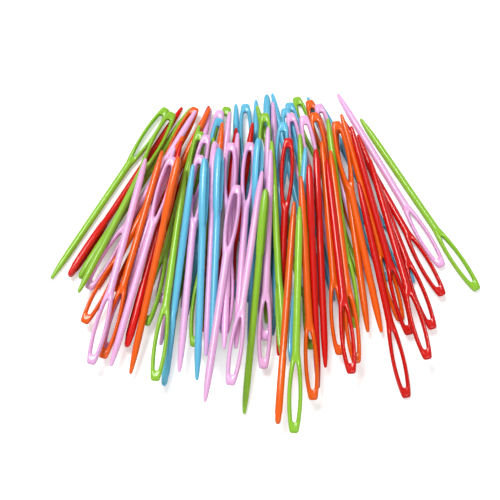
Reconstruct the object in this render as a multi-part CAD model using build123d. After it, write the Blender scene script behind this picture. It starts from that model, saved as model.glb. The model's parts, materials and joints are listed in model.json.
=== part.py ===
from build123d import *

import os
from dataclasses import dataclass

import numpy as np

# A heap of moulded plastic yarn needles, fanned out on a table. Lengths are in
# millimetres and angles in degrees. +X is across the heap, +Y is away from the
# viewer and +Z is up. The origin is the middle of the heap's base.

# The needle, from its point at one end to its eye at the other
NEEDLE_LENGTH = 70.0
SHAFT_DIAMETER = 2.2
POINT_LENGTH = 11.0
TIP_DIAMETER = 1.1
EYE_LENGTH = 24.0
EYE_WIDTH = 4.5
EYE_THICKNESS = 2.3
EYE_END_WIDTH = 2.5
EYE_END_CORNER = 0.45
EYE_END_ROUNDING = 2.6
NECK_WIDTH = 2.3
NECK_LENGTH = 5.0
NECK_OVERLAP = 1.0

# The hole, and the shallow hollow that runs on past both of its ends
HOLE_START = 2.6
HOLE_LENGTH = 18.4
HOLE_WIDTH = 2.2
HOLE_START_WIDTH = 0.3
HOLE_END_WIDTH = 1.0
HOLE_END_CORNER = 0.4
EDGE_ROUNDING = 0.5
HOLLOW_DEPTH = 0.4
HOLLOW_REACH = 2.0
HOLLOW_WIDTH = 0.8

# How far a cutting shape stands past the face that it cuts
OVERRUN = 0.02

# How far along the eye and the hole each is widest, from the neck
EYE_WIDEST_SHARE = 0.57
HOLE_WIDEST_SHARE = 0.56

# How the heap was laid. Each needle rolls sideways off those under it until it finds
# a trough. An end in plain view rolls less far than one that is buried.
NEEDLE_CLEARANCE = 0.12
SAMPLE_SPACING = 0.9
ROUGH_SPACING = 2.6
ROLL_STEP = 0.4
ROLL_TRIES = 10
ROLL_STRIDE = 1.4
ROLL_IN_VIEW = 1.5
ROLL_BURIED = 9.0
ROLL_COST_SHARE = 0.1
STICKING_UP_SHARE = 0.5
SETTLING_ROUNDS = 3
SEARCH_MARGIN = 12.0
POINT_RODS = 4
EYE_RODS = 5

# The photograph's camera, which looks down on the middle of the heap
PHOTO_SIDE_PX = 500
FOCAL_LENGTH_PX = 1085
CAMERA_DISTANCE = 350.0
CAMERA_ELEVATION = 70.0

EYE_START = NEEDLE_LENGTH - EYE_LENGTH
SHAFT_RADIUS = SHAFT_DIAMETER / 2
TIP_RADIUS = TIP_DIAMETER / 2
STRAND_WIDTH = (EYE_WIDTH - HOLE_WIDTH) / 2
STRAND_CORNER = (STRAND_WIDTH / 2 - EDGE_ROUNDING, EYE_THICKNESS / 2 - EDGE_ROUNDING)
STRAND_REACH = np.hypot(*STRAND_CORNER) + EDGE_ROUNDING
EYE_WIDEST_AT = EYE_START + EYE_LENGTH * EYE_WIDEST_SHARE
HOLE_FROM = EYE_START + HOLE_START
HOLE_TO = HOLE_FROM + HOLE_LENGTH
HOLE_WIDEST_AT = HOLE_FROM + HOLE_LENGTH * HOLE_WIDEST_SHARE


@dataclass(frozen=True)
class Laid:
    """A needle of the heap, with its two ends where the photograph shows them.

    The roll turns the eye about the needle's length, from 0 where it lies flat to 90
    where it stands on edge. Where an end is buried, its pixel is a guess, and the
    needle keeps its place by the other end.
    """

    node: str
    eye_px: tuple
    point_px: tuple
    roll: float = 0.0
    buried: str = ""

    def anchor(self):
        """The share of the length, from the point, that keeps its place."""
        return {"": 0.5, "point": 1.0, "eye": 0.0}[self.buried]

    def roll_limits(self):
        """How far the point and the eye may roll from where they are shown."""
        point = ROLL_BURIED if self.buried == "point" else ROLL_IN_VIEW
        eye = ROLL_BURIED if self.buried == "eye" else ROLL_IN_VIEW
        return point, eye


GREEN = [
    Laid("needle_green_01", eye_px=(167, 108), point_px=(51, 279), roll=10),
    Laid("needle_green_02", eye_px=(177, 113), point_px=(79, 294), roll=15),
    Laid("needle_green_03", eye_px=(78, 281), point_px=(192, 106), roll=90),
    Laid("needle_green_04", eye_px=(148, 334), point_px=(197, 118), roll=15),
    Laid("needle_green_05", eye_px=(158, 383), point_px=(190, 169)),
    Laid("needle_green_06", eye_px=(476, 291), point_px=(360, 119)),
    Laid("needle_green_07", eye_px=(267, 192), point_px=(247, 411), roll=80),
    Laid("needle_green_08", eye_px=(294, 431), point_px=(304, 209)),
    Laid("buried_green_needles", eye_px=(203, 132), point_px=(160, 341), buried="point"),
    Laid("buried_green_needles", eye_px=(228, 107), point_px=(175, 312), buried="point"),
    Laid("buried_green_needles", eye_px=(193, 347), point_px=(205, 134), buried="point"),
    Laid("buried_green_needles", eye_px=(281, 356), point_px=(292, 143), roll=70, buried="point"),
    Laid("buried_green_needles", eye_px=(296, 97), point_px=(365, 294), buried="point"),
    Laid("buried_green_needles", eye_px=(359, 330), point_px=(328, 118), buried="eye"),
    Laid("buried_green_needles", eye_px=(338, 344), point_px=(304, 134), buried="eye"),
    Laid("buried_green_needles", eye_px=(313, 308), point_px=(261, 105), buried="eye"),
    Laid("buried_green_needles", eye_px=(269, 113), point_px=(271, 325), buried="point"),
]

RED = [
    Laid("needle_red_01", eye_px=(68, 278), point_px=(183, 106), roll=90),
    Laid("needle_red_02", eye_px=(126, 348), point_px=(178, 143), roll=70),
    Laid("needle_red_03", eye_px=(308, 168), point_px=(322, 385), roll=85),
    Laid("needle_red_04", eye_px=(316, 151), point_px=(330, 366), roll=85),
    Laid("needle_red_05", eye_px=(354, 372), point_px=(330, 161)),
    Laid("needle_red_06", eye_px=(403, 396), point_px=(356, 185)),
    Laid("needle_red_07", eye_px=(424, 362), point_px=(365, 158)),
    Laid("needle_red_08", eye_px=(433, 329), point_px=(362, 134)),
    Laid("needle_red_09", eye_px=(446, 296), point_px=(342, 118)),
    Laid("needle_red_10", eye_px=(404, 332), point_px=(348, 131)),
    Laid("needle_red_11", eye_px=(284, 140), point_px=(274, 353)),
    Laid("buried_red_needles", eye_px=(140, 302), point_px=(209, 106), buried="eye"),
    Laid("buried_red_needles", eye_px=(216, 340), point_px=(235, 128), buried="eye"),
    Laid("buried_red_needles", eye_px=(243, 337), point_px=(257, 123), buried="eye"),
]

ORANGE = [
    Laid("needle_orange_01", eye_px=(103, 357), point_px=(162, 152)),
    Laid("needle_orange_02", eye_px=(81, 321), point_px=(179, 136)),
    Laid("needle_orange_03", eye_px=(180, 163), point_px=(126, 370), roll=85),
    Laid("needle_orange_04", eye_px=(273, 424), point_px=(293, 202), roll=90),
    Laid("needle_orange_05", eye_px=(311, 395), point_px=(303, 181)),
    Laid("needle_orange_06", eye_px=(341, 354), point_px=(318, 141)),
    Laid("needle_orange_07", eye_px=(334, 117), point_px=(366, 341)),
    Laid("needle_orange_08", eye_px=(341, 126), point_px=(376, 327)),
    Laid("needle_orange_09", eye_px=(397, 315), point_px=(339, 121)),
    Laid("buried_orange_needles", eye_px=(200, 110), point_px=(121, 303), buried="point"),
    Laid("buried_orange_needles", eye_px=(140, 306), point_px=(214, 109), buried="eye"),
    Laid("buried_orange_needles", eye_px=(178, 332), point_px=(220, 122), buried="eye"),
    Laid("buried_orange_needles", eye_px=(306, 101), point_px=(377, 298), buried="point"),
    Laid("buried_orange_needles", eye_px=(318, 112), point_px=(354, 322), buried="point"),
    Laid("buried_orange_needles", eye_px=(352, 364), point_px=(328, 152), buried="point"),
]

BLUE = [
    Laid("needle_blue_01", eye_px=(169, 383), point_px=(197, 168), roll=90),
    Laid("needle_blue_02", eye_px=(205, 160), point_px=(197, 378), roll=75),
    Laid("needle_blue_03", eye_px=(224, 150), point_px=(216, 364), roll=70),
    Laid("needle_blue_04", eye_px=(259, 140), point_px=(245, 355), roll=60),
    Laid("needle_blue_05", eye_px=(288, 362), point_px=(301, 148), roll=60),
    Laid("needle_blue_06", eye_px=(216, 114), point_px=(180, 325), roll=20),
    Laid("needle_blue_07", eye_px=(318, 292), point_px=(271, 88)),
    Laid("buried_blue_needles", eye_px=(246, 315), point_px=(237, 104), buried="eye"),
    Laid("buried_blue_needles", eye_px=(249, 104), point_px=(246, 315), buried="point"),
    Laid("buried_blue_needles", eye_px=(279, 122), point_px=(277, 337), buried="point"),
    Laid("buried_blue_needles", eye_px=(285, 108), point_px=(300, 318), buried="point"),
    Laid("buried_blue_needles", eye_px=(293, 102), point_px=(336, 310), buried="point"),
    Laid("buried_blue_needles", eye_px=(400, 285), point_px=(306, 98), buried="eye"),
    Laid("buried_blue_needles", eye_px=(412, 284), point_px=(317, 97), buried="point"),
    Laid("buried_blue_needles", eye_px=(266, 310), point_px=(256, 100), buried="eye"),
    Laid("buried_blue_needles", eye_px=(267, 95), point_px=(271, 305), roll=80, buried="point"),
]

LILAC = [
    Laid("needle_lilac_01", eye_px=(93, 361), point_px=(149, 163)),
    Laid("needle_lilac_02", eye_px=(172, 159), point_px=(112, 364)),
    Laid("needle_lilac_03", eye_px=(204, 157), point_px=(184, 370)),
    Laid("needle_lilac_04", eye_px=(241, 186), point_px=(205, 401)),
    Laid("needle_lilac_05", eye_px=(230, 388), point_px=(258, 169)),
    Laid("needle_lilac_06", eye_px=(268, 367), point_px=(275, 152)),
    Laid("needle_lilac_07", eye_px=(224, 340), point_px=(238, 128)),
    Laid("needle_lilac_08", eye_px=(217, 142), point_px=(204, 356), roll=60),
    Laid("needle_lilac_09", eye_px=(234, 140), point_px=(224, 352)),
    Laid("needle_lilac_10", eye_px=(246, 139), point_px=(231, 352)),
    Laid("needle_lilac_11", eye_px=(290, 111), point_px=(324, 320)),
    Laid("needle_lilac_12", eye_px=(308, 117), point_px=(345, 324)),
    Laid("needle_lilac_13", eye_px=(443, 268), point_px=(337, 93), roll=20),
    Laid("buried_lilac_needles", eye_px=(90, 286), point_px=(197, 111), buried="eye"),
    Laid("buried_lilac_needles", eye_px=(145, 308), point_px=(207, 108), buried="eye"),
    Laid("buried_lilac_needles", eye_px=(108, 353), point_px=(168, 149), buried="point"),
    Laid("buried_lilac_needles", eye_px=(219, 110), point_px=(180, 318), buried="point"),
    Laid("buried_lilac_needles", eye_px=(200, 332), point_px=(230, 120), buried="eye"),
    Laid("buried_lilac_needles", eye_px=(211, 135), point_px=(180, 346), buried="point"),
    Laid("buried_lilac_needles", eye_px=(265, 341), point_px=(268, 127), buried="eye"),
    Laid("buried_lilac_needles", eye_px=(279, 314), point_px=(275, 102), buried="eye"),
    Laid("buried_lilac_needles", eye_px=(318, 104), point_px=(378, 308), buried="point"),
]

HEAP = GREEN + RED + ORANGE + BLUE + LILAC


def upper_end_px(laid):
    """The row of pixels that holds the needle's end further from the viewer."""
    return min(laid.eye_px[1], laid.point_px[1])


def make_shaft():
    """The round shaft, with a long point that ends in a small dome."""
    shoulder = (POINT_LENGTH, SHAFT_RADIUS)
    dome = (TIP_RADIUS, TIP_RADIUS)
    shaft_end = EYE_START + NECK_OVERLAP
    with BuildPart() as shaft:
        with BuildSketch(Plane.XY):
            with BuildLine():
                RadiusArc((0, 0), dome, TIP_RADIUS)
                TangentArc(shoulder, dome, tangent=(-1, 0))
                Polyline(shoulder, (shaft_end, SHAFT_RADIUS), (shaft_end, 0), (0, 0))
            make_face()
        revolve(axis=Axis.X)
    return shaft.part


def bulged_outline(start, widest, end):
    """A face, alike on both sides of the X axis, that swells to its widest station.

    Each of the three is a station along the needle and the full width there.
    """
    first = (start[0], start[1] / 2)
    middle = (widest[0], widest[1] / 2)
    last = (end[0], end[1] / 2)
    with BuildSketch(Plane.XY) as outline:
        with BuildLine():
            TangentArc(middle, first, tangent=(-1, 0))
            TangentArc(middle, last, tangent=(1, 0))
            Polyline(last, (end[0], 0), (start[0], 0), first)
        make_face()
        mirror(about=Plane.XZ)
    return outline


def make_needle():
    """One needle along +X, point at the origin, its eye in the XY plane."""
    half_thick = EYE_THICKNESS / 2
    outside = bulged_outline(
        (EYE_START, NECK_WIDTH), (EYE_WIDEST_AT, EYE_WIDTH), (NEEDLE_LENGTH, EYE_END_WIDTH)
    )
    hole = bulged_outline(
        (HOLE_FROM, HOLE_START_WIDTH), (HOLE_WIDEST_AT, HOLE_WIDTH), (HOLE_TO, HOLE_END_WIDTH)
    )
    with BuildSketch(Plane.XY) as face:
        add(outside)
        fillet(face.vertices().sort_by(Axis.X)[-2:], EYE_END_CORNER)
        with BuildSketch(Plane.XY, mode=Mode.SUBTRACT) as gap:
            add(hole)
            fillet(gap.vertices().sort_by(Axis.X)[-2:], HOLE_END_CORNER)
    with BuildPart() as eye:
        add(face)
        extrude(amount=half_thick, both=True)
        top = eye.faces().sort_by(Axis.Z)[-1]
        base = eye.faces().sort_by(Axis.Z)[0]
        neck = top.edges().sort_by(Axis.X)[0]
        neck_base = base.edges().sort_by(Axis.X)[0]
        rims = [edge for edge in top.edges() if edge != neck]
        rims += [edge for edge in base.edges() if edge != neck_base]
        fillet(rims, EDGE_ROUNDING)
    needle = round_end(trim_neck(eye.part)) + make_shaft()
    for hollow in make_hollows():
        needle -= hollow
    return needle.solid()


def trim_neck(eye):
    """Rounds the eye's first stretch down to the shaft it grows out of."""
    neck_end = (EYE_START + NECK_LENGTH, EYE_WIDTH)
    with BuildPart() as envelope:
        with BuildSketch(Plane.XY):
            with BuildLine():
                TangentArc((EYE_START, SHAFT_RADIUS), neck_end, tangent=(1, 0))
                Polyline(
                    neck_end, (NEEDLE_LENGTH + NECK_LENGTH, EYE_WIDTH),
                    (NEEDLE_LENGTH + NECK_LENGTH, 0), (EYE_START, 0), (EYE_START, SHAFT_RADIUS),
                )
            make_face()
        revolve(axis=Axis.X)
    return eye & envelope.part


def round_end(eye):
    """Rounds the eye's far end, as seen from its edge, like the end of a bullet."""
    half_thick = EYE_THICKNESS / 2 + OVERRUN
    bullet_from = NEEDLE_LENGTH - EYE_END_ROUNDING
    eye_from = EYE_START - NECK_OVERLAP
    with BuildPart() as envelope:
        with BuildSketch(Plane.XZ):
            with BuildLine():
                EllipticalCenterArc(
                    (bullet_from, 0), EYE_END_ROUNDING, half_thick, -90, arc_size=180
                )
                Polyline(
                    (bullet_from, half_thick), (eye_from, half_thick),
                    (eye_from, -half_thick), (bullet_from, -half_thick),
                )
            make_face()
        extrude(amount=EYE_WIDTH, both=True)
    return eye & envelope.part


def make_hollows():
    """The hollow between the strands on both faces, past both ends of the hole."""
    hollows = []
    for tip, mouth in (
        (HOLE_FROM - HOLLOW_REACH, HOLE_FROM + HOLLOW_REACH),
        (HOLE_TO + HOLLOW_REACH, HOLE_TO - HOLLOW_REACH),
    ):
        for side in (-1, 1):
            corners = [(tip, 0), (mouth, HOLLOW_WIDTH / 2), (mouth, -HOLLOW_WIDTH / 2)]
            face = Plane.XY.offset(side * EYE_THICKNESS / 2) * Polygon(*corners, align=None)
            hollows.append(extrude(face, amount=HOLLOW_DEPTH, both=True))
    return hollows


@dataclass
class Rods:
    """Round-ended rods that stand for the laid needles while others are laid."""

    starts: np.ndarray
    ends: np.ndarray
    radii: np.ndarray


def eye_half_width(station):
    """Half the eye's outer width at a distance along the needle."""
    before = (EYE_WIDEST_AT - station) / (EYE_WIDEST_AT - EYE_START)
    after = (station - EYE_WIDEST_AT) / (NEEDLE_LENGTH - EYE_WIDEST_AT)
    loss = np.where(
        station < EYE_WIDEST_AT,
        (EYE_WIDTH - NECK_WIDTH) * before**2,
        (EYE_WIDTH - EYE_END_WIDTH) * after**2,
    )
    return (EYE_WIDTH - loss) / 2


def shaft_radius(station):
    """The shaft's radius at a distance from the point."""
    shoulder = np.clip((POINT_LENGTH - station) / (POINT_LENGTH - TIP_RADIUS), 0, 1)
    return SHAFT_RADIUS - (SHAFT_RADIUS - TIP_RADIUS) * shoulder**2


@dataclass
class Balls:
    """A row of balls that fills the needle, each at a station and a sideways offset."""

    stations: np.ndarray
    sideways: np.ndarray
    radii: np.ndarray


def ball_row(spacing):
    """The needle as balls, one row along the shaft and one along each strand."""
    shaft_at = np.arange(TIP_RADIUS, EYE_START, spacing)
    eye_at = np.arange(EYE_START, NEEDLE_LENGTH - EYE_END_CORNER, spacing)
    middle = eye_half_width(eye_at) - STRAND_WIDTH / 2
    reach = np.full_like(eye_at, STRAND_REACH)
    return Balls(
        np.concatenate([shaft_at, eye_at, eye_at]),
        np.concatenate([np.zeros_like(shaft_at), middle, -middle]),
        np.concatenate([shaft_radius(shaft_at), reach, reach]),
    )


def photo_ray(pixel):
    """The camera's place, and the direction in which it sees a pixel."""
    lift = np.radians(CAMERA_ELEVATION)
    place = CAMERA_DISTANCE * np.array([0.0, -np.cos(lift), np.sin(lift)])
    ahead = -place / CAMERA_DISTANCE
    upward = np.array([0.0, np.sin(lift), np.cos(lift)])
    right = np.array([1.0, 0.0, 0.0])
    across, down = np.subtract(pixel, PHOTO_SIDE_PX / 2)
    return place, ahead * FOCAL_LENGTH_PX + right * across - upward * down


def plan_point(pixel, height):
    """The point at a height that the photograph shows at a pixel."""
    place, direction = photo_ray(pixel)
    return place + direction * (height - place[2]) / direction[2]


@dataclass
class Pose:
    """A needle's place: its point, its direction and the side its eye spreads to."""

    point: np.ndarray
    direction: np.ndarray
    spread: np.ndarray

    def spots(self, stations, sideways):
        """The places at stations along the needle and offsets across its eye."""
        along = np.outer(stations, self.direction)
        return self.point + along + np.outer(sideways, self.spread)


def make_pose(laid, height, slope, roll_off):
    """The pose of a needle whose point is at a height, and that climbs at a slope.

    The roll-off is how far the point and the eye have rolled to the side.
    """
    point_at = plan_point(laid.point_px, height)
    eye_at = plan_point(laid.eye_px, height + slope * NEEDLE_LENGTH)
    run = (eye_at - point_at)[:2]
    side = np.array([-run[1], run[0]]) / np.linalg.norm(run)
    point_at[:2] += side * roll_off[0]
    eye_at[:2] += side * roll_off[1]
    run = (eye_at - point_at)[:2]
    flat = run / np.linalg.norm(run)
    held = point_at[:2] + run * laid.anchor()
    start = held - flat * np.sqrt(1 - slope**2) * NEEDLE_LENGTH * laid.anchor()
    return aimed(np.array([*start, height]), flat, slope, laid.roll)


def aimed(point, flat, slope, roll):
    """The pose of a needle that leaves its point along a level heading, at a slope."""
    direction = np.array([*(flat * np.sqrt(1 - slope**2)), slope])
    sideways = np.array([-flat[1], flat[0], 0.0])
    upright = np.cross(direction, sideways)
    turn = np.radians(roll)
    return Pose(point, direction, np.cos(turn) * sideways + np.sin(turn) * upright)


def floor_heights(pose, balls):
    """The least height of each ball's centre over the floor, by the true section."""
    normal = np.cross(pose.direction, pose.spread)
    across, through = STRAND_CORNER
    strand = across * abs(pose.spread[2]) + through * abs(normal[2]) + EDGE_ROUNDING
    return np.where(balls.sideways == 0, balls.radii, strand)


def resting_heights(centres, radii, rods):
    """The least height of each ball's centre over the rods, or 0 where it meets none."""
    reach = radii[:, None] + rods.radii[None, :] + NEEDLE_CLEARANCE
    span = rods.ends - rods.starts
    length = np.linalg.norm(span, axis=1)
    unit = span / length[:, None]
    flat = centres[:, None, :2] - rods.starts[None, :, :2]
    lean = unit[None, :, 2]
    drift = flat[..., 0] * unit[None, :, 0] + flat[..., 1] * unit[None, :, 1]
    level = 1 - lean**2
    apart = flat[..., 0] ** 2 + flat[..., 1] ** 2
    inside = drift**2 * lean**2 - level * (apart - drift**2 - reach**2)
    climb = (drift * lean + np.sqrt(np.maximum(inside, 0))) / level
    along_rod = drift + climb * lean
    on_side = (inside > 0) & (along_rod > 0) & (along_rod < length[None, :])
    heights = np.where(on_side, rods.starts[None, :, 2] + climb, 0)
    for ends in (rods.starts, rods.ends):
        away = centres[:, None, :2] - ends[None, :, :2]
        gap = reach**2 - away[..., 0] ** 2 - away[..., 1] ** 2
        over_end = ends[None, :, 2] + np.sqrt(np.maximum(gap, 0))
        heights = np.maximum(heights, np.where(gap > 0, over_end, 0))
    return heights.max(axis=1, initial=0)


def resting_line(stations, heights, balance):
    """The line that rests on the two heights either side of the balance point."""
    order = np.lexsort((heights, stations))
    hull = []
    for spot in zip(stations[order], heights[order]):
        while len(hull) > 1 and turns_left(hull[-2], hull[-1], spot):
            hull.pop()
        hull.append(spot)
    for (near, low), (far, high) in zip(hull, hull[1:]):
        if near <= balance <= far and far > near:
            break
    slope = (high - low) / (far - near)
    return low - slope * near, slope


def turns_left(first, second, third):
    """Whether the second of three points lies on or under the line of the others."""
    ahead = (second[0] - first[0]) * (third[1] - first[1])
    across = (second[1] - first[1]) * (third[0] - first[0])
    return ahead >= across


def settle(pose, balls, rods, balance):
    """How high a needle's point rests on the rods at this place, and its slope."""
    centres = pose.spots(balls.stations, balls.sideways)
    on_rods = resting_heights(centres, balls.radii, rods)
    heights = np.maximum(on_rods, floor_heights(pose, balls))
    return resting_line(balls.stations, heights - balls.sideways * pose.spread[2], balance)


def strides(limit):
    """The places across the range of a roll that are tried first."""
    count = int(limit // ROLL_STRIDE)
    return [ROLL_STRIDE * step for step in range(-count, count + 1)]


def roll_off(laid, rods, balance):
    """Rolls a needle's ends sideways, a step at a time, for as long as it sinks."""
    rough = ball_row(ROUGH_SPACING)
    height, slope = settle(make_pose(laid, SHAFT_RADIUS, 0.0, (0, 0)), rough, rods, balance)
    limits = laid.roll_limits()

    def cost(shift):
        at, climb = settle(make_pose(laid, height, slope, shift), rough, rods, balance)
        highest = max(at, at + climb * NEEDLE_LENGTH)
        rolled = ROLL_COST_SHARE * (abs(shift[0]) + abs(shift[1]))
        return at + climb * balance + STICKING_UP_SHARE * highest + rolled, at, climb

    tries = [(point, eye) for point in strides(limits[0]) for eye in strides(limits[1])]
    found = {shift: cost(shift) for shift in tries}
    shift = min(found, key=lambda tried: found[tried][0])
    for _ in range(ROLL_TRIES):
        height, slope = found[shift][1:]
        around = [
            (shift[0] + point_step, shift[1] + eye_step)
            for point_step in (-ROLL_STEP, 0.0, ROLL_STEP)
            for eye_step in (-ROLL_STEP, 0.0, ROLL_STEP)
        ]
        for spot in around:
            inside = abs(spot[0]) <= limits[0] and abs(spot[1]) <= limits[1]
            if inside and spot not in found:
                found[spot] = cost(spot)
        known = [spot for spot in around if spot in found]
        best = min(known, key=lambda tried: found[tried][0])
        if best == shift:
            break
        shift = best
    return shift, height, slope


def lay_down(laid, rods, balance):
    """The pose in which a needle comes to rest on the rods that are there already."""
    shift, height, slope = roll_off(laid, rods, balance)
    pose = make_pose(laid, height, slope, shift)
    flat = pose.direction[:2] / np.linalg.norm(pose.direction[:2])
    row = ball_row(SAMPLE_SPACING)
    for _ in range(SETTLING_ROUNDS):
        height, slope = settle(pose, row, rods, balance)
        point = np.array([*pose.point[:2], height])
        pose = aimed(point, flat, slope, laid.roll)
    return pose


def rods_near(rods, laid):
    """The rods that lie under or beside a needle, wherever it may roll to."""
    ends = np.array([plan_point(laid.point_px, 0)[:2], plan_point(laid.eye_px, 0)[:2]])
    margin = max(laid.roll_limits()) + SEARCH_MARGIN
    low = ends.min(axis=0) - margin
    high = ends.max(axis=0) + margin
    rod_low = np.minimum(rods.starts, rods.ends)[:, :2]
    rod_high = np.maximum(rods.starts, rods.ends)[:, :2]
    near = (rod_high > low).all(axis=1) & (rod_low < high).all(axis=1)
    return Rods(rods.starts[near], rods.ends[near], rods.radii[near])


def rods_of(pose):
    """A laid needle as rods, each as thick as the needle's thicker end there."""
    edges = np.linspace(TIP_RADIUS, POINT_LENGTH, POINT_RODS + 1)
    edges = np.append(edges, EYE_START)
    starts = [pose.point + near * pose.direction for near in edges[:-1]]
    ends = [pose.point + far * pose.direction for far in edges[1:]]
    radii = list(shaft_radius(edges[1:]))
    bends = np.linspace(EYE_START, NEEDLE_LENGTH - EYE_END_CORNER, EYE_RODS + 1)
    offsets = eye_half_width(bends) - STRAND_WIDTH / 2
    for side in (-1, 1):
        joints = pose.spots(bends, side * offsets)
        starts.extend(joints[:-1])
        ends.extend(joints[1:])
        radii.extend([STRAND_REACH] * EYE_RODS)
    return Rods(np.array(starts), np.array(ends), np.array(radii))


def lay_heap(balance):
    """Lays the needles, the far ones first, and gives each one's pose."""
    poses = []
    rods = Rods(np.zeros((0, 3)), np.zeros((0, 3)), np.zeros(0))
    for laid in sorted(HEAP, key=upper_end_px):
        pose = lay_down(laid, rods_near(rods, laid), balance)
        more = rods_of(pose)
        rods = Rods(
            np.concatenate([rods.starts, more.starts]),
            np.concatenate([rods.ends, more.ends]),
            np.concatenate([rods.radii, more.radii]),
        )
        poses.append((laid, pose))
    return poses


def placed(needle, pose):
    """A copy of the needle at its pose."""
    normal = np.cross(pose.direction, pose.spread)
    plane = Plane(
        origin=Vector(*pose.point), x_dir=Vector(*pose.direction), z_dir=Vector(*normal)
    )
    return needle.moved(plane.location)


def middle_of_heap(poses):
    """The middle of the heap in plan, from the balls that fill its needles."""
    row = ball_row(SAMPLE_SPACING)
    reach = row.radii[:, None]
    plans = [pose.spots(row.stations, row.sideways)[:, :2] for _, pose in poses]
    low = np.min([(plan - reach).min(axis=0) for plan in plans], axis=0)
    high = np.max([(plan + reach).max(axis=0) for plan in plans], axis=0)
    return (low + high) / 2


def build_nodes():
    """Every node's solids, with the origin at the middle of the heap's base."""
    needle = make_needle()
    poses = lay_heap(needle.center().X)
    middle = middle_of_heap(poses)
    nodes = {}
    for laid, pose in poses:
        pose.point[:2] -= middle
        nodes.setdefault(laid.node, []).append(placed(needle, pose))
    return nodes


if __name__ == "__main__":
    os.makedirs("parts", exist_ok=True)
    for name, solids in build_nodes().items():
        whole = solids[0] if len(solids) == 1 else Compound(solids)
        export_step(whole, f"parts/{name}.step")
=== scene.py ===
"""A fanned heap of moulded plastic yarn needles on a white table.

Every needle comes out of one mould, so one needle is modelled here and a copy of it is laid
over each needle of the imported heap. Sizes of the needle are in millimetres and turn to metres
in one place. Everything else is in metres, in the heap's own frame.
"""

import json
import logging
import math
import random
from dataclasses import dataclass, field
from enum import Enum

import bmesh
import bpy
import numpy as np
from mathutils import Matrix, Vector

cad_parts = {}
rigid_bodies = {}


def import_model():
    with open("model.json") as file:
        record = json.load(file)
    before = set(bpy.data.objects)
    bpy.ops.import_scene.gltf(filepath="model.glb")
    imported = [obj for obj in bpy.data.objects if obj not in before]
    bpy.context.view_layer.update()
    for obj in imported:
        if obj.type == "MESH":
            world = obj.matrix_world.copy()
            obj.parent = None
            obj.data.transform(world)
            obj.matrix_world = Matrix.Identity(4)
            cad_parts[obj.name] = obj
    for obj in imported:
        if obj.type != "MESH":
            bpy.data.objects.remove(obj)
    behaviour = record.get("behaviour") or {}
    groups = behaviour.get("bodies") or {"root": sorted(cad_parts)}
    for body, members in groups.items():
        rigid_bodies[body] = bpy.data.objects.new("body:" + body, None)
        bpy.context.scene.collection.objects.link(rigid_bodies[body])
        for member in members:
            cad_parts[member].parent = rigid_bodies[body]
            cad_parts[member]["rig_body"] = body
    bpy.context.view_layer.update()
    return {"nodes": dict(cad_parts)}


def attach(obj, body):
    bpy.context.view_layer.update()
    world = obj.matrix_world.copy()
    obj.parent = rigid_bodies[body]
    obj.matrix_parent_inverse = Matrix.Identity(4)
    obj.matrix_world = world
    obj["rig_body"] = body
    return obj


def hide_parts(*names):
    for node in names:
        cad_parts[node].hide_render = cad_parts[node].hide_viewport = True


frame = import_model()

MM = 0.001
WELD_REACH = 1e-7
log = logging.getLogger("yarn_needles")


def linear_rgba(srgb: int) -> tuple[float, float, float, float]:
    """Turns a colour as it is written on screen into the renderer's linear light.

    The numbers are those of the sRGB curve.

    Args:
        srgb: The colour as 0xRRGGBB.

    Returns:
        Red, green, blue and an alpha of 1.
    """
    channels = []
    for shift in (16, 8, 0):
        level = ((srgb >> shift) & 0xFF) / 255
        curved = ((level + 0.055) / 1.055) ** 2.4
        channels.append(level / 12.92 if level <= 0.04045 else curved)
    return (*channels, 1.0)


def add_node(
    tree: bpy.types.NodeTree,
    kind: str,
    links: dict | None = None,
    values: dict | None = None,
    **settings: object,
) -> bpy.types.Node:
    """Adds a shader node with its links and settings.

    Args:
        tree: The node tree that gets it.
        kind: Blender's name for the node, such as "ShaderNodeTexNoise".
        links: Input name or number to the output socket that feeds it.
        values: Input name or number to its own value.
        settings: The node's other properties.

    Returns:
        The new node.
    """
    node = tree.nodes.new(kind)
    for name, value in settings.items():
        setattr(node, name, value)
    for name, value in (values or {}).items():
        node.inputs[name].default_value = value
    for name, output in (links or {}).items():
        tree.links.new(output, node.inputs[name])
    return node


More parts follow.
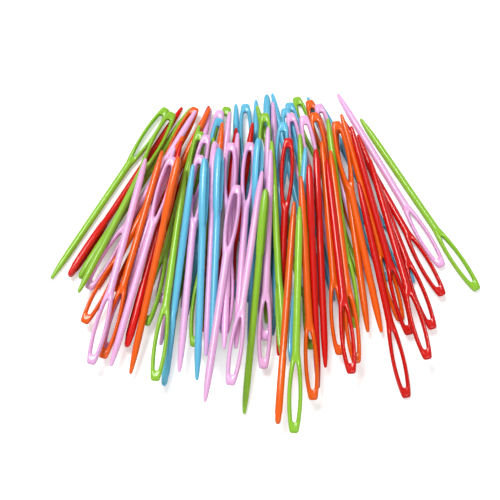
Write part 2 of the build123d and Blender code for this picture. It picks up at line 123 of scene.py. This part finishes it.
@dataclass(frozen=True)
class MouldedPolypropylene:
    """Injection-moulded polypropylene with colour mixed into the plastic.

    The mould's polish gives a soft satin gloss, a little uneven. The plastic lets some light
    through, so thin strands look lighter than the shaft, and the melt leaves faint streaks
    along the needle where it flowed. The IOR is that of plain polypropylene. The streaks and
    the skin's grain are drawn coarser than they are, so that they show.
    """

    slot: str
    body: int
    streak: int
    roughness: float = 0.22
    ior: float = 1.49
    glow: float = 0.12
    glow_depth_mm: float = 0.8
    streak_length_mm: float = 14.0
    streak_width_mm: float = 0.7
    streak_detail: float = 3.0
    grain_mm: float = 0.25
    grain_detail: float = 2.0
    grain_depth_mm: float = 0.05
    grain_strength: float = 0.06
    polish_shares: tuple[float, float] = (0.85, 1.2)
    tone_swing: float = 0.06

    def material(self) -> bpy.types.Material:
        """Builds the node material.

        Returns:
            A material that needs the template's "along" UV map and "tone" attribute.
        """
        material = bpy.data.materials.new(f"moulded_polypropylene_{self.slot}")
        material.use_nodes = True
        tree = material.node_tree
        tree.nodes.clear()
        along = add_node(tree, "ShaderNodeUVMap", uv_map=NeedleMould.UV_NAME)
        stretch = (1 / (self.streak_length_mm * MM), 1 / (self.streak_width_mm * MM), 1.0)
        stretched = add_node(
            tree, "ShaderNodeMapping", {"Vector": along.outputs["UV"]}, {"Scale": stretch}
        )
        flow = add_node(
            tree,
            "ShaderNodeTexNoise",
            {"Vector": stretched.outputs["Vector"]},
            {"Scale": 1.0, "Detail": self.streak_detail},
        )
        colour = add_node(
            tree,
            "ShaderNodeMix",
            {"Factor": flow.outputs["Fac"]},
            data_type="RGBA",
        )
        colour.inputs["A"].default_value = linear_rgba(self.body)
        colour.inputs["B"].default_value = linear_rgba(self.streak)
        tone = add_node(tree, "ShaderNodeAttribute", attribute_name=NeedleMould.TONE_NAME)
        swing = add_node(
            tree,
            "ShaderNodeMapRange",
            {"Value": tone.outputs["Fac"]},
            {"To Min": 1 - self.tone_swing, "To Max": 1 + self.tone_swing},
        )
        toned = add_node(
            tree,
            "ShaderNodeHueSaturation",
            {"Value": swing.outputs["Result"], "Color": colour.outputs["Result"]},
        )
        place = add_node(tree, "ShaderNodeTexCoord")
        grain = add_node(
            tree,
            "ShaderNodeTexNoise",
            {"Vector": place.outputs["Object"]},
            {"Scale": 1 / (self.grain_mm * MM), "Detail": self.grain_detail},
        )
        glossiest, dullest = (share * self.roughness for share in self.polish_shares)
        polish = add_node(
            tree,
            "ShaderNodeMapRange",
            {"Value": grain.outputs["Fac"]},
            {"To Min": glossiest, "To Max": dullest},
        )
        skin = add_node(
            tree,
            "ShaderNodeBump",
            {"Height": grain.outputs["Fac"]},
            {"Strength": self.grain_strength, "Distance": self.grain_depth_mm * MM},
        )
        plastic = add_node(
            tree,
            "ShaderNodeBsdfPrincipled",
            {
                "Base Color": toned.outputs["Color"],
                "Roughness": polish.outputs["Result"],
                "Normal": skin.outputs["Normal"],
            },
            {
                "IOR": self.ior,
                "Subsurface Weight": self.glow,
                "Subsurface Radius": (1.0, 1.0, 1.0),
                "Subsurface Scale": self.glow_depth_mm * MM,
            },
        )
        add_node(tree, "ShaderNodeOutputMaterial", {"Surface": plastic.outputs["BSDF"]})
        return material


class Plastic(Enum):
    """The five colours that the needles are moulded in."""

    GREEN = MouldedPolypropylene("green_plastic", body=0x8AC22E, streak=0x98CC3C)
    RED = MouldedPolypropylene("red_plastic", body=0xD20C06, streak=0xDA1A10)
    ORANGE = MouldedPolypropylene("orange_plastic", body=0xEC5806, streak=0xF26810)
    BLUE = MouldedPolypropylene("blue_plastic", body=0x5EBCE0, streak=0x70C8E8)
    LILAC = MouldedPolypropylene("lilac_plastic", body=0xECB0E2, streak=0xF3BEEA)

    @classmethod
    def of_node(cls, node: str) -> "Plastic":
        """The colour whose name is in a node's name."""
        return next(colour for colour in cls if colour.name.lower() in node)


@dataclass(frozen=True)
class Section:
    """A slice across half of the needle, in millimetres.

    The slice is a box with its long edges cut off. The subdivided surface rounds it, to a
    circle where the cut is wide.
    """

    station: float
    half_width: float
    half_thickness: float
    cut: float
    hole: float = 0.0
    hollow: float = 0.0

    def outline(self, seam_rise: float, seam_reach: float) -> list[tuple[float, float]]:
        """Goes round the half slice from the middle of its top, out, and back under.

        Args:
            seam_rise: How far the mould's parting line stands out, as a share of the half
                thickness.
            seam_reach: Half the width of the strip that the line rises from, as the same share.

        Returns:
            The corners as (sideways, up).
        """
        side = self.half_thickness - self.cut
        strip = self.half_thickness * seam_reach
        rise = self.half_thickness * seam_rise
        inner_cut = min(self.cut, self.hole) if self.hole else 0.0
        top = self.half_thickness - self.hollow
        upper = [
            (self.hole + inner_cut, top),
            (self.half_width - self.cut, self.half_thickness),
            (self.half_width, side),
            (self.half_width, strip),
        ]
        lower = [(across, -up) for across, up in reversed(upper)]
        seam = [(self.half_width + rise, 0.0)]
        wall = [(self.hole, -side), (max(self.hole - rise, 0.0), 0.0), (self.hole, side)]
        return upper + seam + lower + wall


@dataclass
class NeedleMould:
    """One blunt plastic yarn needle with a long open eye, as it leaves the mould.

    Lengths are in millimetres. The shares say where along a stretch of the needle its slices
    are: along the taper, the rest of the shaft, the hollow before the hole, the hole, the
    hollow behind it, and the rounding at the eye's end, back from that end.
    """

    UV_NAME = "along"
    TONE_NAME = "tone"
    CORNERS = 12
    MERGE_MM = 1e-5
    TOUCH_MM = 1e-6
    DOME = ((0.0, 0.3), (0.12, 0.7), (1.0, 1.0))
    TAPER_SHARES = (0.18, 0.35, 0.55, 0.78, 1.0)
    SHAFT_SHARES = (0.5, 1.0)
    FIRST_HOLLOW_SHARES = (1.0, 0.45, 0.0)
    HOLE_SHARES = (0.04, 0.12, 0.24, 0.38, 0.53, 0.68, 0.82, 0.93, 0.98)
    SECOND_HOLLOW_SHARES = (0.0, 0.5, 1.0)
    END_SHARES = (0.27, 0.17, 0.08, 0.02, 0.0)

    length: float = 70.0
    shaft_radius: float = 1.1
    point_length: float = 11.0
    tip_radius: float = 0.55
    eye_length: float = 24.0
    eye_half_width: float = 2.25
    eye_half_thickness: float = 1.15
    eye_end_half_width: float = 1.25
    eye_end_corner: float = 0.75
    eye_end_rounding: float = 2.6
    eye_end_flat: float = 0.02
    eye_widest_share: float = 0.57
    neck_half_width: float = 1.15
    neck_length: float = 5.0
    hole_start: float = 2.6
    hole_length: float = 18.4
    hole_half_width: float = 1.1
    hole_start_half_width: float = 0.15
    hole_end_half_width: float = 0.5
    hole_widest_share: float = 0.56
    hollow_depth: float = 0.75
    hollow_reach: float = 2.0
    round_cut_share: float = 0.6
    strand_cut: float = 0.55
    seam_rise: float = 0.045
    seam_reach: float = 0.11
    gate_reach: float = 0.1
    gate_rise: float = 0.05

    def taper_radius(self, station: float) -> float:
        """Finds how thick the shaft is.

        Args:
            station: The distance from the needle's point.

        Returns:
            The radius.
        """
        run = (self.point_length - station) / (self.point_length - self.tip_radius)
        lost = min(max(run, 0.0), 1.0)
        return self.shaft_radius - (self.shaft_radius - self.tip_radius) * lost**2

    def round_section(self, station: float, radius: float) -> Section:
        """A slice of the round shaft."""
        return Section(station, radius, radius, radius * self.round_cut_share)

    def bulge(self, station: float, stations: tuple, widths: tuple) -> float:
        """Finds a half width that swells from the first station to the widest, then shrinks.

        Args:
            station: The distance from the needle's point.
            stations: Where the shape starts, is widest, and ends.
            widths: Its half widths there.

        Returns:
            The half width.
        """
        start, widest, end = stations
        first, most, last = widths
        if station < widest:
            return most - (most - first) * ((widest - station) / (widest - start)) ** 2
        return most - (most - last) * ((station - widest) / (end - widest)) ** 2

    def eye_section(self, station: float, hollow: float = 0.0) -> Section:
        """A slice of the eye.

        Args:
            station: The distance from the needle's point.
            hollow: The share of the hollow's full depth between the strands.

        Returns:
            The slice.
        """
        start = self.length - self.eye_length
        hole_from = start + self.hole_start
        hole_to = hole_from + self.hole_length
        eye_stations = (start, start + self.eye_length * self.eye_widest_share, self.length)
        eye_widths = (self.neck_half_width, self.eye_half_width, self.eye_end_half_width)
        hole_widest = hole_from + self.hole_length * self.hole_widest_share
        hole_widths = (
            self.hole_start_half_width,
            self.hole_half_width,
            self.hole_end_half_width,
        )
        hole = 0.0
        if hole_from < station < hole_to:
            hole = self.bulge(station, (hole_from, hole_widest, hole_to), hole_widths)
        half_thickness = self.eye_half_thickness * self.end_share(station)
        round_cut = half_thickness * self.round_cut_share
        flattened = min((station - start) / self.neck_length, 1.0)
        strand_cut = min(self.strand_cut, round_cut)
        return Section(
            station,
            self.bulge(station, eye_stations, eye_widths) - self.corner_loss(station),
            half_thickness,
            round_cut + (strand_cut - round_cut) * flattened,
            hole,
            hollow * self.hollow_depth * self.end_share(station),
        )

    def end_share(self, station: float) -> float:
        """How much of the eye's thickness is left where its end rounds off like a bullet."""
        run = (station - self.length + self.eye_end_rounding) / self.eye_end_rounding
        return math.sqrt(max(1 - max(run, 0.0) ** 2, self.eye_end_flat))

    def corner_loss(self, station: float) -> float:
        """How far the rounded corners of the eye's end have drawn in at a station."""
        run = max(station - self.length + self.eye_end_corner, 0.0)
        return self.eye_end_corner - math.sqrt(max(self.eye_end_corner**2 - run**2, 0.0))

    def sections(self) -> list[Section]:
        """Slices the needle, from its domed point to the far end of its eye.

        Returns:
            The slices, in order.
        """
        slices = [
            self.round_section(share * self.tip_radius, width * self.tip_radius)
            for share, width in self.DOME
        ]
        for share in self.TAPER_SHARES:
            station = share * self.point_length
            slices.append(self.round_section(station, self.taper_radius(station)))
        start = self.length - self.eye_length
        for share in self.SHAFT_SHARES:
            station = self.point_length + share * (start - self.point_length)
            slices.append(self.round_section(station, self.shaft_radius))
        hole_from = start + self.hole_start
        hole_to = hole_from + self.hole_length
        for share in self.FIRST_HOLLOW_SHARES:
            slices.append(self.eye_section(hole_from - share * self.hollow_reach, 1 - share))
        for share in self.HOLE_SHARES:
            slices.append(self.eye_section(hole_from + share * self.hole_length))
        for share in self.SECOND_HOLLOW_SHARES:
            slices.append(self.eye_section(hole_to + share * self.hollow_reach, 1 - share))
        end = self.length - self.gate_rise
        for share in self.END_SHARES:
            slices.append(self.eye_section(end - share * self.eye_end_rounding))
        return slices

    def half_cage(self) -> bmesh.types.BMesh:
        """Draws a ring of corners along the needle, on one side of its middle plane.

        Returns:
            The half cage, closed at both ends and open along the middle plane.
        """
        cage = bmesh.new()
        corner = cage.verts.layers.int.new("corner")
        slices = self.sections()
        ring = bmesh.ops.create_circle(cage, segments=self.CORNERS, radius=1.0)["verts"]
        for index, vert in enumerate(ring):
            vert[corner] = index
        edges = list(cage.edges)
        bmesh.ops.edgenet_fill(cage, edges=edges)
        for number, section in enumerate(slices):
            if number:
                grown = bmesh.ops.extrude_edge_only(cage, edges=edges)["geom"]
                ring = [item for item in grown if isinstance(item, bmesh.types.BMVert)]
                edges = [item for item in grown if isinstance(item, bmesh.types.BMEdge)]
            outline = section.outline(self.seam_rise, self.seam_reach)
            for vert in ring:
                vert.co = Vector((section.station, *outline[vert[corner]]))
        bmesh.ops.edgenet_fill(cage, edges=edges)
        middle = [
            face
            for face in cage.faces
            if len(face.verts) == 4
            and all(abs(vert.co.y) < self.TOUCH_MM for vert in face.verts)
        ]
        bmesh.ops.delete(cage, geom=middle, context="FACES")
        return cage

    def raise_gate(self, cage: bmesh.types.BMesh) -> None:
        """Leaves the small stub on the eye's end where the needle was cut off its runner.

        Args:
            cage: The whole needle's cage.
        """
        end = self.length - self.gate_rise
        ends = [
            face
            for face in cage.faces
            if all(abs(vert.co.x - end) < self.TOUCH_MM for vert in face.verts)
        ]
        bmesh.ops.inset_region(cage, faces=ends, thickness=self.gate_reach)
        stub = {vert for face in ends for vert in face.verts}
        bmesh.ops.translate(cage, verts=list(stub), vec=(self.gate_rise, 0, 0))

    def mesh(self) -> bpy.types.Mesh:
        """Mirrors, closes and smooths the cage.

        Returns:
            The finished needle in metres, its point at the origin and its eye along +X.
        """
        cage = self.half_cage()
        everything = cage.verts[:] + cage.edges[:] + cage.faces[:]
        bmesh.ops.mirror(cage, geom=everything, axis="Y", merge_dist=self.MERGE_MM)
        bmesh.ops.remove_doubles(cage, verts=cage.verts, dist=self.MERGE_MM)
        self.raise_gate(cage)
        bmesh.ops.recalc_face_normals(cage, faces=cage.faces)
        bmesh.ops.scale(cage, vec=(MM, MM, MM), verts=cage.verts)
        rough = bpy.data.meshes.new("needle_cage")
        cage.to_mesh(rough)
        cage.free()
        holder = bpy.data.objects.new("needle_cage", rough)
        bpy.context.scene.collection.objects.link(holder)
        smoothing = holder.modifiers.new("rounding", "SUBSURF")
        smoothing.levels = smoothing.render_levels = 1
        smoothing.use_limit_surface = True
        bpy.context.view_layer.update()
        seen = holder.evaluated_get(bpy.context.evaluated_depsgraph_get())
        smooth = bpy.data.meshes.new_from_object(seen)
        bpy.data.objects.remove(holder)
        bpy.data.meshes.remove(rough)
        self.map_surface(smooth)
        return smooth

    def map_surface(self, mesh: bpy.types.Mesh) -> None:
        """Gives the needle its UV map, along it and round it in metres, and smooth shading.

        Args:
            mesh: The finished needle.
        """
        shell = bmesh.new()
        shell.from_mesh(mesh)
        layer = shell.loops.layers.uv.new(self.UV_NAME)
        for face in shell.faces:
            face.smooth = True
            for loop in face.loops:
                spot = loop.vert.co
                turn = math.atan2(spot.z, abs(spot.y))
                loop[layer].uv = (spot.x, turn * self.shaft_radius * MM)
        shell.to_mesh(mesh)
        shell.free()


class PackedNode:
    """One CAD node of the heap, which holds one needle or a group of them."""

    def __init__(self, name: str, carrier: bpy.types.Object) -> None:
        """Takes a node.

        Args:
            name: The node's name.
            carrier: The node's object in the frame.
        """
        self.name = name
        self.carrier = carrier

    def shells(self) -> list[np.ndarray]:
        """Splits the node into its separate needles.

        Returns:
            Each needle's triangles, as an array of their corners.
        """
        copy = bmesh.new()
        copy.from_mesh(self.carrier.data)
        bmesh.ops.remove_doubles(copy, verts=copy.verts, dist=WELD_REACH)
        unseen = set(copy.faces)
        found = []
        while unseen:
            pending = [unseen.pop()]
            shell = []
            while pending:
                face = pending.pop()
                shell.append([tuple(vert.co) for vert in face.verts])
                for edge in face.edges:
                    for other in edge.link_faces:
                        if other in unseen:
                            unseen.remove(other)
                            pending.append(other)
            found.append(np.array(shell))
        copy.free()
        return found

    @staticmethod
    def place(triangles: np.ndarray) -> Matrix:
        """Finds where a needle lies from its solid's own balance.

        The long axis of its inertia runs along the shaft, and the next is across the eye.

        Args:
            triangles: The needle's closed surface.

        Returns:
            The matrix from the needle's own axes to the heap's frame.
        """
        origin = triangles.mean(axis=(0, 1))
        local = triangles - origin
        first, second, third = local[:, 0], local[:, 1], local[:, 2]
        volumes = np.einsum("ij,ij->i", first, np.cross(second, third)) / 6
        corners = local.sum(axis=1)
        centre = volumes @ corners / 4 / volumes.sum()
        own = np.einsum("i,ijk,ijl->kl", volumes, local, local)
        joint = np.einsum("i,ik,il->kl", volumes, corners, corners)
        spread = (own + joint) / 20 / volumes.sum() - np.outer(centre, centre)
        axes = np.linalg.eigh(spread)[1]
        along = axes[:, 2]
        reach = (local - centre).reshape(-1, 3) @ along
        if reach.max() > -reach.min():
            along, reach = -along, -reach
        point = origin + centre + along * reach.min()
        across = axes[:, 1]
        upright = np.cross(along, across)
        return Matrix(
            [[*row, spot] for row, spot in zip(np.stack([along, across, upright], 1), point)]
            + [[0, 0, 0, 1]]
        )


@dataclass
class Heap:
    """The fanned heap: a moulded needle for each one that the frame holds."""

    mould: NeedleMould = field(default_factory=NeedleMould)
    seed: int = 7

    def build(self) -> list[bpy.types.Object]:
        """Lays and dresses every needle.

        Returns:
            One piece for each CAD node.
        """
        template = self.mould.mesh()
        materials = {colour: colour.value.material() for colour in Plastic}
        chance = random.Random(self.seed)
        pieces = []
        for name in sorted(frame["nodes"]):
            node = PackedNode(name, frame["nodes"][name])
            piece = self.lay(node, template, chance)
            colour = Plastic.of_node(name)
            piece.data.materials.append(materials[colour])
            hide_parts(name)
            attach(piece, node.carrier["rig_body"])
            log.info("%s: %d faces, %s", piece.name, len(piece.data.polygons), colour.name)
            pieces.append(piece)
        bpy.data.meshes.remove(template)
        return pieces

    def lay(
        self, node: PackedNode, template: bpy.types.Mesh, chance: random.Random
    ) -> bpy.types.Object:
        """Lays a copy of the needle over each needle of a node.

        Args:
            node: The node.
            template: The moulded needle.
            chance: Picks how light each needle's plastic came out.

        Returns:
            The piece that stands for the node.
        """
        laid = bmesh.new()
        tone = laid.verts.layers.float.new(NeedleMould.TONE_NAME)
        for triangles in sorted(node.shells(), key=lambda shell: tuple(shell.mean(axis=(0, 1)))):
            known = len(laid.verts)
            laid.from_mesh(template)
            laid.verts.ensure_lookup_table()
            fresh = laid.verts[known:]
            bmesh.ops.transform(laid, matrix=PackedNode.place(triangles), verts=fresh)
            lightness = chance.random()
            for vert in fresh:
                vert[tone] = lightness
        mesh = bpy.data.meshes.new(f"{node.name}_moulding")
        laid.to_mesh(mesh)
        laid.free()
        piece = bpy.data.objects.new(f"{node.name}_moulding", mesh)
        bpy.context.scene.collection.objects.link(piece)
        return piece


@dataclass
class SoftLight:
    """A square diffuser that hangs over the table."""

    name: str
    place: tuple[float, float, float]
    side: float
    power: float

    def hang(self, aim: Vector) -> bpy.types.Object:
        """Hangs the lamp and turns it towards a point.

        Args:
            aim: The point.

        Returns:
            The lamp's object.
        """
        lamp = bpy.data.lights.new(self.name, "AREA")
        lamp.size = self.side
        lamp.energy = self.power
        fitting = bpy.data.objects.new(self.name, lamp)
        fitting.location = self.place
        fitting.rotation_euler = (aim - Vector(self.place)).to_track_quat("-Z", "Y").to_euler()
        bpy.context.scene.collection.objects.link(fitting)
        return fitting


@dataclass
class Studio:
    """The white table, the soft lights and the camera of a product photograph.

    The table glows a little to the camera, so that it shows white. Under the heap it glows
    less, a painted shade that keeps the gaps between needles dark, and far off it glows more.
    The shares say where each change starts and ends, in half sizes of the painted-shade oval.
    """

    table_size: float = 6.0
    table_level: float = -0.00005
    table_colour: int = 0xF4F4F4
    table_lift: float = 0.42
    # Painted shade: the table glows less in an oval under the heap, which darkens the gaps between
    # needles.
    painted_shade_lift: float = 0.08
    painted_shade_middle: tuple[float, float] = (0.0, 0.012)
    painted_shade_half_size: tuple[float, float] = (0.06, 0.045)
    painted_shade_shares: tuple[float, float] = (0.5, 1.0)
    far_lift: float = 0.4
    far_shares: tuple[float, float] = (4.0, 14.0)
    sky_colour: int = 0xFFFFFF
    sky_light: float = 0.3
    photo_side_px: float = 500.0
    focal_length_px: float = 1085.0
    sensor_mm: float = 36.0
    camera_distance: float = 0.350
    camera_elevation: float = 70.0
    camera_clip: tuple[float, float] = (0.01, 20.0)
    look_at: tuple[float, float, float] = (-0.00506, 0.00286, 0.0)

    def build(self) -> None:
        """Sets up the table, the world, the lamps and the camera."""
        self.lay_table()
        self.light_world()
        aim = Vector(self.look_at)
        for lamp in (
            SoftLight("key_softbox", (-0.22, 0.25, 0.78), side=0.3, power=5.7),
            SoftLight("fill_softbox", (0.3, -0.5, 0.6), side=0.5, power=1.5),
        ):
            lamp.hang(aim)
        self.place_camera(aim)

    def lay_table(self) -> None:
        """Lays the white table top."""
        sheet = bmesh.new()
        bmesh.ops.create_grid(sheet, x_segments=1, y_segments=1, size=self.table_size / 2)
        mesh = bpy.data.meshes.new("table_top")
        sheet.to_mesh(mesh)
        sheet.free()
        top = bpy.data.objects.new("table_top", mesh)
        top.location.z = self.table_level
        bpy.context.scene.collection.objects.link(top)
        mesh.materials.append(self.white_card())

    def white_card(self) -> bpy.types.Material:
        """Builds the table's matt white card, with its glow for the camera.

        Returns:
            The material.
        """
        material = bpy.data.materials.new("white_card")
        material.use_nodes = True
        tree = material.node_tree
        tree.nodes.clear()
        white = linear_rgba(self.table_colour)
        card = add_node(tree, "ShaderNodeBsdfDiffuse", values={"Color": white})
        place = add_node(tree, "ShaderNodeTexCoord")
        across, deep = self.painted_shade_half_size
        middle = (-self.painted_shade_middle[0] / across, -self.painted_shade_middle[1] / deep, 0.0)
        shaded_to, lifted_from = self.painted_shade_shares
        far_from, far_to = self.far_shares
        shares = add_node(
            tree,
            "ShaderNodeMapping",
            {"Vector": place.outputs["Object"]},
            {"Location": middle, "Scale": (1 / across, 1 / deep, 0.0)},
        )
        away = add_node(
            tree, "ShaderNodeVectorMath", {0: shares.outputs["Vector"]}, operation="LENGTH"
        )
        # Painted shade: the glow drops inside the oval under the heap, so the table shows dark
        # between needles.
        strength = add_node(
            tree,
            "ShaderNodeMapRange",
            {"Value": away.outputs["Value"]},
            {
                "From Min": shaded_to,
                "From Max": lifted_from,
                "To Min": self.painted_shade_lift,
                "To Max": self.table_lift,
            },
        )
        farther = add_node(
            tree,
            "ShaderNodeMapRange",
            {"Value": away.outputs["Value"]},
            {"From Min": far_from, "From Max": far_to, "To Max": self.far_lift},
        )
        total = add_node(
            tree,
            "ShaderNodeMath",
            {0: strength.outputs["Result"], 1: farther.outputs["Result"]},
            operation="ADD",
        )
        lift = add_node(tree, "ShaderNodeEmission", {"Strength": total.outputs["Value"]})
        both = add_node(
            tree, "ShaderNodeAddShader", {0: card.outputs["BSDF"], 1: lift.outputs["Emission"]}
        )
        path = add_node(tree, "ShaderNodeLightPath")
        seen = add_node(
            tree,
            "ShaderNodeMixShader",
            {0: path.outputs["Is Camera Ray"], 1: card.outputs["BSDF"], 2: both.outputs["Shader"]},
        )
        add_node(tree, "ShaderNodeOutputMaterial", {"Surface": seen.outputs["Shader"]})
        return material

    def light_world(self) -> None:
        """Lights the scene from all round, and shows the camera plain white beyond the table."""
        world = bpy.data.worlds.new("studio_white")
        world.use_nodes = True
        tree = world.node_tree
        tree.nodes.clear()
        white = linear_rgba(self.sky_colour)
        path = add_node(tree, "ShaderNodeLightPath")
        strength = add_node(
            tree,
            "ShaderNodeMapRange",
            {"Value": path.outputs["Is Camera Ray"]},
            {"To Min": self.sky_light, "To Max": 1.0},
        )
        sky = add_node(
            tree,
            "ShaderNodeBackground",
            {"Strength": strength.outputs["Result"]},
            {"Color": white},
        )
        add_node(tree, "ShaderNodeOutputWorld", {"Surface": sky.outputs["Background"]})
        bpy.context.scene.world = world

    def place_camera(self, aim: Vector) -> None:
        """Stands the camera where the photograph was taken from.

        Args:
            aim: The middle of the picture, on the table.
        """
        optics = bpy.data.cameras.new("photo_camera")
        optics.sensor_width = self.sensor_mm
        optics.lens = self.focal_length_px / self.photo_side_px * self.sensor_mm
        optics.clip_start, optics.clip_end = self.camera_clip
        camera = bpy.data.objects.new("photo_camera", optics)
        lift = math.radians(self.camera_elevation)
        back = Vector((0.0, -math.cos(lift), math.sin(lift)))
        camera.location = aim + back * self.camera_distance
        camera.rotation_euler = (-back).to_track_quat("-Z", "Y").to_euler()
        bpy.context.scene.collection.objects.link(camera)
        bpy.context.scene.camera = camera


def main() -> None:
    """Builds the heap, then the studio round it."""
    logging.basicConfig(level=logging.INFO, format="%(name)s: %(message)s")
    Heap().build()
    Studio().build()
    bpy.context.scene.view_settings.view_transform = "Standard"


if __name__ == "__main__":
    main()
